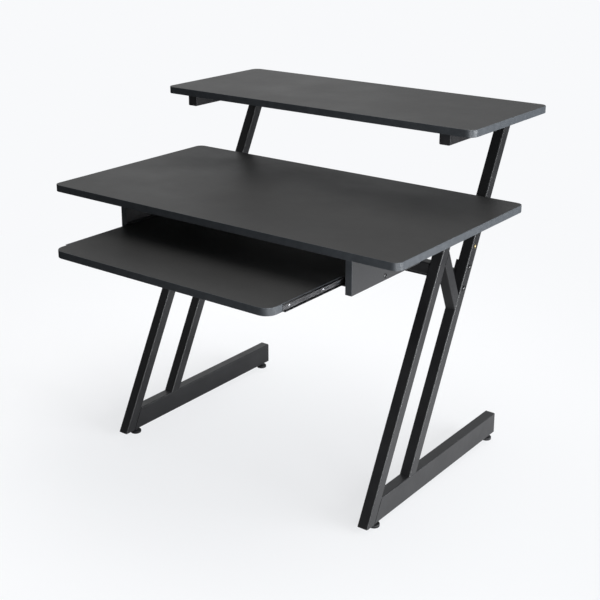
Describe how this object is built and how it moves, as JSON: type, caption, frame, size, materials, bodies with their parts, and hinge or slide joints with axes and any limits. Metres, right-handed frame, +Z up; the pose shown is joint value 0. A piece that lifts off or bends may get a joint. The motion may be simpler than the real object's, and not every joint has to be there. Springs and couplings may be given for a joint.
{
  "type": "computer desk",
  "caption": "Black computer desk on a leaning tube frame, with a raised rear shelf, a keyboard tray on ball slides under the desktop and levelling feet.",
  "frame": {"origin": "on the floor, midway between the side frames and midway between the front edge of the drawn-out tray and the rear edge of the shelf; the desktop's middle is 13 mm in front of it", "axes": "+X along the width to the right as the user sits, -Y towards the user, +Z up"},
  "size_m": [1.1, 0.992, 0.965],
  "materials": {
    "laminate": "fine-grained near-black laminate, satin",
    "panel_laminate": "near-black laminate, satin",
    "edge_band": "smooth near-black plastic band",
    "black_steel": "black powder coat, semi-gloss",
    "spigot_steel": "plain drawn steel",
    "cap_plastic": "black moulded plastic",
    "black_screw": "black oxide",
    "brass_thread": "plain brass",
    "dowel_wood": "bare beech",
    "foot_plastic": "black moulded plastic",
    "foot_thread": "zinc-plated steel",
    "foot_insert": "black moulded plastic",
    "slide_steel": "dark zinc-plated sheet",
    "ball_steel": "bright steel balls in a sheet cage",
    "stop_rubber": "black rubber",
    "slide_screw": "bright zinc-plated steel"
  },
  "bodies": {
    "frame": {"desktop_board": "laminate", "shelf_board": "laminate", "tray_side_panel_left": "panel_laminate", "tray_side_panel_right": "panel_laminate", "desktop_edge_band": "edge_band", "shelf_edge_band": "edge_band", "panel_edge_band_left": "edge_band", "panel_edge_band_right": "edge_band", "front_leg_left": "black_steel", "front_leg_right": "black_steel", "rear_leg_left": "black_steel", "rear_leg_right": "black_steel", "base_tube_left": "black_steel", "base_tube_right": "black_steel", "brace_left": "black_steel", "brace_right": "black_steel", "desk_rail_left": "black_steel", "desk_rail_right": "black_steel", "front_crossbar": "black_steel", "rear_crossbar": "black_steel", "rear_crossbar_plates": "black_steel", "riser_left": "black_steel", "riser_right": "black_steel", "shelf_arm_left": "black_steel", "shelf_arm_right": "black_steel", "riser_spigots": "spigot_steel", "base_tube_caps": "cap_plastic", "front_leg_caps": "cap_plastic", "shelf_arm_caps": "cap_plastic", "desk_rail_caps": "cap_plastic", "riser_bolts": "black_screw", "panel_bolts": "black_screw", "desktop_screws": "black_screw", "shelf_screws": "black_screw", "brass_inserts": "brass_thread", "panel_dowels": "dowel_wood", "foot_nuts": "foot_insert", "slide_cabinet_member_left": "slide_steel", "slide_cabinet_member_right": "slide_steel", "slide_bumpers": "stop_rubber", "slide_panel_screws": "slide_screw"},
    "tray": {"tray_board": "laminate", "tray_edge_band": "edge_band", "slide_drawer_member_left": "slide_steel", "slide_drawer_member_right": "slide_steel", "slide_tray_screws": "slide_screw"},
    "ball_cage_left": {"slide_ball_cage_left": "ball_steel"},
    "ball_cage_right": {"slide_ball_cage_right": "ball_steel"},
    "foot_front_left": {"foot_pad_front_left": "foot_plastic", "foot_stem_front_left": "foot_thread"},
    "foot_front_right": {"foot_pad_front_right": "foot_plastic", "foot_stem_front_right": "foot_thread"},
    "foot_rear_left": {"foot_pad_rear_left": "foot_plastic", "foot_stem_rear_left": "foot_thread"},
    "foot_rear_right": {"foot_pad_rear_right": "foot_plastic", "foot_stem_rear_right": "foot_thread"}
  },
  "joints": [
    {"name": "tray_slide", "type": "slide", "parent": "frame", "child": "tray", "axis": [0, -1, 0], "range_m": [-0.222, 0.028]},
    {"name": "ball_cage_left_slide", "type": "slide", "parent": "frame", "child": "ball_cage_left", "axis": [0, -1, 0], "range_m": [-0.111, 0.014]},
    {"name": "ball_cage_right_slide", "type": "slide", "parent": "frame", "child": "ball_cage_right", "axis": [0, -1, 0], "range_m": [-0.111, 0.014]},
    {"name": "foot_front_left_screw", "type": "slide", "parent": "frame", "child": "foot_front_left", "axis": [0, 0, -1], "range_m": [-0.007, 0.012]},
    {"name": "foot_front_right_screw", "type": "slide", "parent": "frame", "child": "foot_front_right", "axis": [0, 0, -1], "range_m": [-0.007, 0.012]},
    {"name": "foot_rear_left_screw", "type": "slide", "parent": "frame", "child": "foot_rear_left", "axis": [0, 0, -1], "range_m": [-0.007, 0.012]},
    {"name": "foot_rear_right_screw", "type": "slide", "parent": "frame", "child": "foot_rear_right", "axis": [0, 0, -1], "range_m": [-0.007, 0.012]}
  ],
  "couplings": [
    {"joint": "ball_cage_left_slide", "follows": "tray_slide", "ratio": 0.5},
    {"joint": "ball_cage_right_slide", "follows": "tray_slide", "ratio": 0.5}
  ]
}
